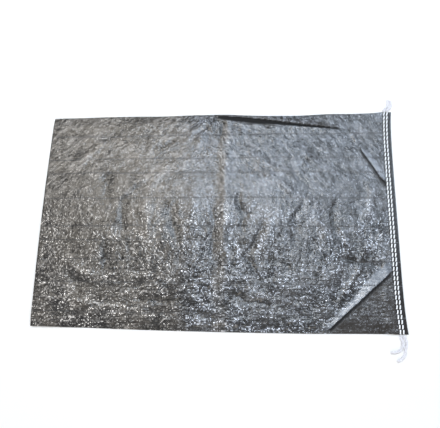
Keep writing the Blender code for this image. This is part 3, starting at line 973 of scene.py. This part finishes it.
def laminated_fabric():
    """Dark tape-woven fabric under a thin clear film, satin with glints; its colour also holds painted glints,
    highlights, shade and reflection colour.
    """
    material, tree, shader = new_material("laminated_fabric")
    place = tree.nodes.new("ShaderNodeTexCoord").outputs["Object"]
    axes = tree.nodes.new("ShaderNodeSeparateXYZ")
    tree.links.new(place, axes.inputs[0])
    x, y = axes.outputs["X"], axes.outputs["Y"]
    wander = calc(tree, "MULTIPLY", calc(tree, "SUBTRACT", cloudy(tree, place, 9.0, 1.0), 0.5), 0.006)
    across = calc(tree, "SINE", calc(tree, "MULTIPLY", calc(tree, "ADD", x, wander), math.pi / TAPE))
    along = calc(tree, "SINE", calc(tree, "MULTIPLY", calc(tree, "ADD", y, wander), math.pi / TAPE))
    checks = calc(tree, "MULTIPLY", across, along)
    pillow = calc(tree, "POWER", calc(tree, "ABSOLUTE", checks), 0.45)
    lengthwise = ramp(tree, checks, -0.25, 0.25)

    line = None
    for spot in SLIT_LINES:
        distance = calc(tree, "ABSOLUTE", calc(tree, "SUBTRACT", calc(tree, "ADD", y, wander), spot))
        mark = ramp(tree, distance, 0.0008, 0.0022, 1.0, 0.0)
        line = mark if line is None else calc(tree, "MAXIMUM", line, mark)
    line = calc(tree, "MULTIPLY", line, ramp(tree, across, -0.5, 0.6, 0.25, 1.0))

    cells = tree.nodes.new("ShaderNodeCombineXYZ")
    for socket, value in zip(cells.inputs, (x, y)):
        counted = calc(tree, "DIVIDE", calc(tree, "ADD", value, wander), TAPE)
        tree.links.new(calc(tree, "FLOOR", counted), socket)
    dice = tree.nodes.new("ShaderNodeTexWhiteNoise")
    dice.noise_dimensions = "2D"
    tree.links.new(cells.outputs[0], dice.inputs["Vector"])

    tape_lean = vector_calc(tree, "SUBTRACT", dice.outputs["Color"], (0.5, 0.5, 0.5))
    calm = attribute(tree, "calm")
    fold = attribute(tree, "fold_shade")
    tape_lean = vector_calc(tree, "SCALE", tape_lean, ramp(tree, calm, 0.0, 1.0, 0.20, 0.05))
    upper = ramp(tree, y, 0.02, 0.10)
    left = ramp(tree, x, 0.03, -0.08)
    lower = ramp(tree, y, -0.10, -0.16)
    bent = vector_calc(tree, "ADD", place, vector_calc(tree, "SCALE", cloudy(tree, place, 40.0, 2.0, output=1), 0.022))
    lean = facets(tree, bent, 90.0)
    lean = blend_vectors(tree, upper, lean, facets(tree, bent, 120.0))
    lean = blend_vectors(tree, calc(tree, "MULTIPLY", upper, left), lean, facets(tree, bent, 34.0))
    lean = blend_vectors(tree, lower, lean, facets(tree, bent, 4.0))
    lively = calc(tree, "MULTIPLY_ADD", ramp(tree, x, -0.15, 0.12), 0.05, 0.14)
    lively = calc(tree, "MULTIPLY_ADD", ramp(tree, y, 0.06, -0.10), 0.10, lively)
    from_pucker = vector_calc(tree, "DISTANCE", place, (-0.015, 0.222, 0.012))
    pucker = ramp(tree, from_pucker, 0.012, 0.042, 1.0, 0.0)
    lively = calc(tree, "MULTIPLY_ADD", pucker, 0.30, lively)
    lively = calc(tree, "MULTIPLY", lively, calc(tree, "SUBTRACT", 1.0, calc(tree, "MULTIPLY", calm, 0.75)))
    facing = vector_calc(tree, "ADD", tree.nodes.new("ShaderNodeNewGeometry").outputs["Normal"], tape_lean)
    facing = vector_calc(tree, "ADD", facing, vector_calc(tree, "SCALE", lean, lively))
    normal = vector_calc(tree, "NORMALIZE", facing)

    parts = tree.nodes.new("ShaderNodeSeparateXYZ")
    tree.links.new(lean, parts.inputs[0])
    fleck = parts.outputs["Z"]
    flecked = calc(tree, "SUBTRACT", 1.0, calc(tree, "MULTIPLY", calm, 0.6))
    patch = cloudy(tree, place, 14.0, 3.0)
    # partly tone that differs at random between tape cells, partly painted glints: sparse cells turned bright, more of
    # them lower down and round the pucker; the lengthwise tapes are painted lighter than the crosswise ones as their
    # sheen
    painted_glint_chance = calc(tree, "POWER", dice.outputs["Value"], 4.0)
    sparkle = calc(tree, "MULTIPLY_ADD", ramp(tree, y, 0.10, -0.08), 0.80, 0.40)
    sparkle = calc(tree, "MULTIPLY_ADD", pucker, 0.6, sparkle)
    painted_glint_chance = calc(tree, "MULTIPLY_ADD", calc(tree, "SUBTRACT", painted_glint_chance, 0.2), sparkle, 0.2)
    light = blend_colours(tree, painted_glint_chance, (0.028, 0.028, 0.028), (0.560, 0.560, 0.570))
    dark = blend_colours(tree, painted_glint_chance, (0.006, 0.006, 0.006), (0.260, 0.260, 0.268))
    tone = blend_colours(tree, lengthwise, dark, light)
    tone = blend_colours(tree, calc(tree, "MULTIPLY", calc(tree, "SUBTRACT", 1.0, pillow), 0.8), tone, (0.018, 0.018, 0.019))
    # painted glints and shade: each small flat between the creases lighter or darker, as it would catch the light or
    # not
    tone = tinted(tree, tone, ramp(tree, calc(tree, "MULTIPLY", fleck, flecked), -0.42, 0.50, 0.15, 2.1))
    tone = blend_colours(tree, ramp(tree, patch, 0.35, 0.7, 0.0, 0.25), tone, (0.120, 0.108, 0.094))
    # painted highlight: the even slopes behind the pleats' lips take a lighter colour, much lighter on the far pleat
    brighter_towards_far_side = ramp(tree, y, 0.0, 0.05)
    painted_band_highlight = blend_colours(tree, brighter_towards_far_side, (0.110, 0.114, 0.124), (0.400, 0.412, 0.436))
    share = calc(tree, "MULTIPLY_ADD", brighter_towards_far_side, -0.12, 0.5)
    tone = blend_colours(tree, calc(tree, "MULTIPLY", attribute(tree, "even_slope_highlight"), share), tone, painted_band_highlight)
    # painted light and shade: crests of the folds and creases lightened, their hollows darkened
    tone = tinted(tree, tone, ramp(tree, attribute(tree, "painted_relief_shading"), -1.3, 1.3, 0.35, 1.75))
    corner = attribute(tree, "corner")
    rows = cloudy(tree, place, 300.0, 2.0, (0.10, 1.0, 1.0))
    ruled = calc(tree, "MAXIMUM", ramp(tree, y, -0.02, -0.18, 0.0, 0.75), corner)
    rows = calc(tree, "MULTIPLY_ADD", ramp(tree, rows, 0.36, 0.64, -0.55, 0.65), ruled, 1.0)
    tone = tinted(tree, tone, rows)
    # painted reflection colour: warm to the left and cool to the right, with a warm stripe near the middle, as the warm
    # and cool lamps would reflect
    wobble = calc(tree, "MULTIPLY_ADD", calc(tree, "SUBTRACT", cloudy(tree, place, 12.0, 2.0), 0.5), 0.05, x)
    warm_reflection_stripe = ramp(tree, calc(tree, "ABSOLUTE", calc(tree, "SUBTRACT", wobble, 0.014)), 0.006, 0.020, 0.6, 0.0)
    cool_reflection_share = calc(tree, "MULTIPLY", ramp(tree, wobble, -0.100, -0.035), calc(tree, "SUBTRACT", 1.0, warm_reflection_stripe))
    tone = tinted(tree, tone, blend_colours(tree, cool_reflection_share, (1.05, 1.0, 0.94), (0.93, 1.0, 1.12)))
    tone = blend_colours(tree, calc(tree, "MULTIPLY", line, 0.85), tone, (0.010, 0.010, 0.012))
    # painted shade: the flat corner beyond the near pleat darkened
    tone = blend_colours(tree, calc(tree, "MULTIPLY", corner, 0.60), tone, (0.027, 0.022, 0.018))
    sewn = attribute(tree, "sewn")
    # painted shade: the sewn hem strip darkened almost to black, for the shade between its rows and its dark reflection
    tone = blend_colours(tree, calc(tree, "MULTIPLY", sewn, 0.96), tone, (0.008, 0.008, 0.009))
    # painted shade: near black in the deep tuck and under the pleats' lips, where the film is also rougher
    tone = blend_colours(tree, fold, tone, (0.004, 0.004, 0.005))
    tree.links.new(tone, shader.inputs["Base Color"])

    rough = calc(tree, "ADD", ramp(tree, patch, 0.3, 0.75, 0.17, 0.24), calc(tree, "MULTIPLY", line, 0.3))
    rough = calc(tree, "ADD", calc(tree, "MULTIPLY_ADD", sewn, -0.08, rough), calc(tree, "MULTIPLY", fold, 0.8), clamp=True)
    tree.links.new(rough, shader.inputs["Roughness"])
    shader.inputs["Specular IOR Level"].default_value = 0.8
    shader.inputs["Coat Weight"].default_value = 0.0

    film = cloudy(tree, place, 85.0, 2.0, (0.8, 1.3, 1.0), 0.4)
    creases = calc(tree, "ABSOLUTE", calc(tree, "SUBTRACT", film, 0.5))
    normal = bumped(tree, creases, 0.0018, ramp(tree, calm, 0.0, 1.0, 1.0, 0.2), normal)
    normal = bumped(tree, pillow, 0.00006, 1.0, normal)
    normal = bumped(tree, calc(tree, "SUBTRACT", 1.0, line), 0.0002, 1.0, normal)
    tree.links.new(normal, shader.inputs["Normal"])
    return material


def sewing_thread(name, light, shade):
    """White multifilament thread, a little fuzzy."""
    material, tree, shader = new_material(name)
    place = tree.nodes.new("ShaderNodeTexCoord").outputs["Object"]
    fibre = cloudy(tree, place, 2600.0, 3.0, (1.0, 0.35, 1.0), 0.5)
    soft = cloudy(tree, place, 240.0, 2.0)
    tone = blend_colours(tree, ramp(tree, soft, 0.3, 0.7), light, shade)
    tone = blend_colours(tree, ramp(tree, fibre, 0.35, 0.6, 0.15, 0.0), tone, (0.45, 0.46, 0.50))
    tree.links.new(tone, shader.inputs["Base Color"])
    shader.inputs["Roughness"].default_value = 0.62
    shader.inputs["Sheen Weight"].default_value = 0.25
    shader.inputs["Subsurface Weight"].default_value = 0.0
    tree.links.new(bumped(tree, fibre, 0.00012, 0.7), shader.inputs["Normal"])
    return material


def pale_floor():
    """Plain pale studio floor, which isn't part of the object."""
    size = 6.0
    data = bpy.data.meshes.new("floor")
    corners = [(-size, -size, 0), (size, -size, 0), (size, size, 0), (-size, size, 0)]
    data.from_pydata(corners, [], [(0, 1, 2, 3)])
    floor = bpy.data.objects.new("floor", data)
    bpy.context.scene.collection.objects.link(floor)
    material, tree, shader = new_material("pale_floor")
    shader.inputs["Base Color"].default_value = (0.86, 0.86, 0.86, 1.0)
    shader.inputs["Roughness"].default_value = 0.9
    data.materials.append(material)


def soft_box(name, centre, size, radiance, colour, aim=(0.0, 0.0, 0.0)):
    """Rectangular lamp facing a point."""
    lamp = bpy.data.lights.new(name, "AREA")
    lamp.shape = "RECTANGLE"
    lamp.size, lamp.size_y = size
    lamp.energy = radiance * math.pi * size[0] * size[1]
    lamp.color = colour
    holder = bpy.data.objects.new(name, lamp)
    holder.location = centre
    way = Vector(aim) - Vector(centre)
    holder.rotation_euler = way.to_track_quat("-Z", "Y").to_euler()
    bpy.context.scene.collection.objects.link(holder)


def light_studio():
    """Soft light from above and behind, warm to the left and cool to the right."""
    warm, cool, white = (1.0, 0.93, 0.82), (0.70, 0.84, 1.0), (1.0, 1.0, 1.0)
    soft_box("soft_box_left", (-1.10, 1.05, 2.0), (1.20, 2.00), 2.6, warm, (-1.10, 1.05, 0.0))
    soft_box("soft_box_right", (0.25, 1.05, 2.0), (1.26, 2.00), 3.2, cool, (0.25, 1.05, 0.0))
    soft_box("soft_box_edge", (1.75, 1.15, 1.95), (0.60, 1.50), 6.0, cool, (1.75, 1.15, 0.0))
    soft_box("glint_middle", (0.20, 0.30, 1.95), (0.22, 0.22), 30.0, white, (0.20, 0.30, 0.0))
    soft_box("glint_far", (-0.30, 1.10, 1.95), (0.22, 0.22), 30.0, white, (-0.30, 1.10, 0.0))
    soft_box("fill_near", (0.0, -2.6, 1.5), (2.6, 1.0), 3.5, warm)
    world = bpy.data.worlds.new("studio")
    world.use_nodes = True
    back = world.node_tree.nodes["Background"]
    back.inputs["Color"].default_value = (0.97, 0.98, 1.0, 1.0)
    back.inputs["Strength"].default_value = 0.45
    bpy.context.scene.world = world
    bpy.context.scene.view_settings.view_transform = "Standard"


def place_camera():
    """Camera of the photo, nearly overhead, looking down the sack's length from its near side."""
    camera = bpy.data.cameras.new("camera")
    camera.sensor_width = 36.0
    camera.lens = 36.19
    holder = bpy.data.objects.new("camera", camera)
    right = Vector((0.9962, 0.0205, -0.0846)).normalized()
    forward = Vector((-0.0871, 0.2418, -0.9664)).normalized()
    up = right.cross(forward).normalized()
    right = forward.cross(up).normalized()
    turn = Matrix((right, up, -forward)).transposed()
    holder.matrix_world = Matrix.Translation((0.0979, -0.2350, 0.9649)) @ turn.to_4x4()
    bpy.context.scene.collection.objects.link(holder)
    bpy.context.scene.camera = holder


def dress():
    """All visible pieces in the places of their solids."""
    place_camera()
    chain = sewing_thread("loose_thread", (0.90, 0.90, 0.94), (0.80, 0.80, 0.87))
    for seed, (name, plan) in enumerate(tail_routes().items()):
        build_tail(name, plan, seed, chain)
    data, top = build_sack()
    sack = add_piece("sack_fabric", data, laminated_fabric())
    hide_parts("sack")
    thread = sewing_thread("seam_thread", (0.95, 0.97, 1.0), (0.90, 0.93, 0.97))
    for name, inset in (("stitch_row_outer", OUTER_ROW_INSET),
                        ("stitch_row_inner", OUTER_ROW_INSET + ROW_SPACING)):
        row = build_stitch_row(name + "_thread", inset, top, len(name), thread)
        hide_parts(name)
    pale_floor()
    light_studio()


dress()
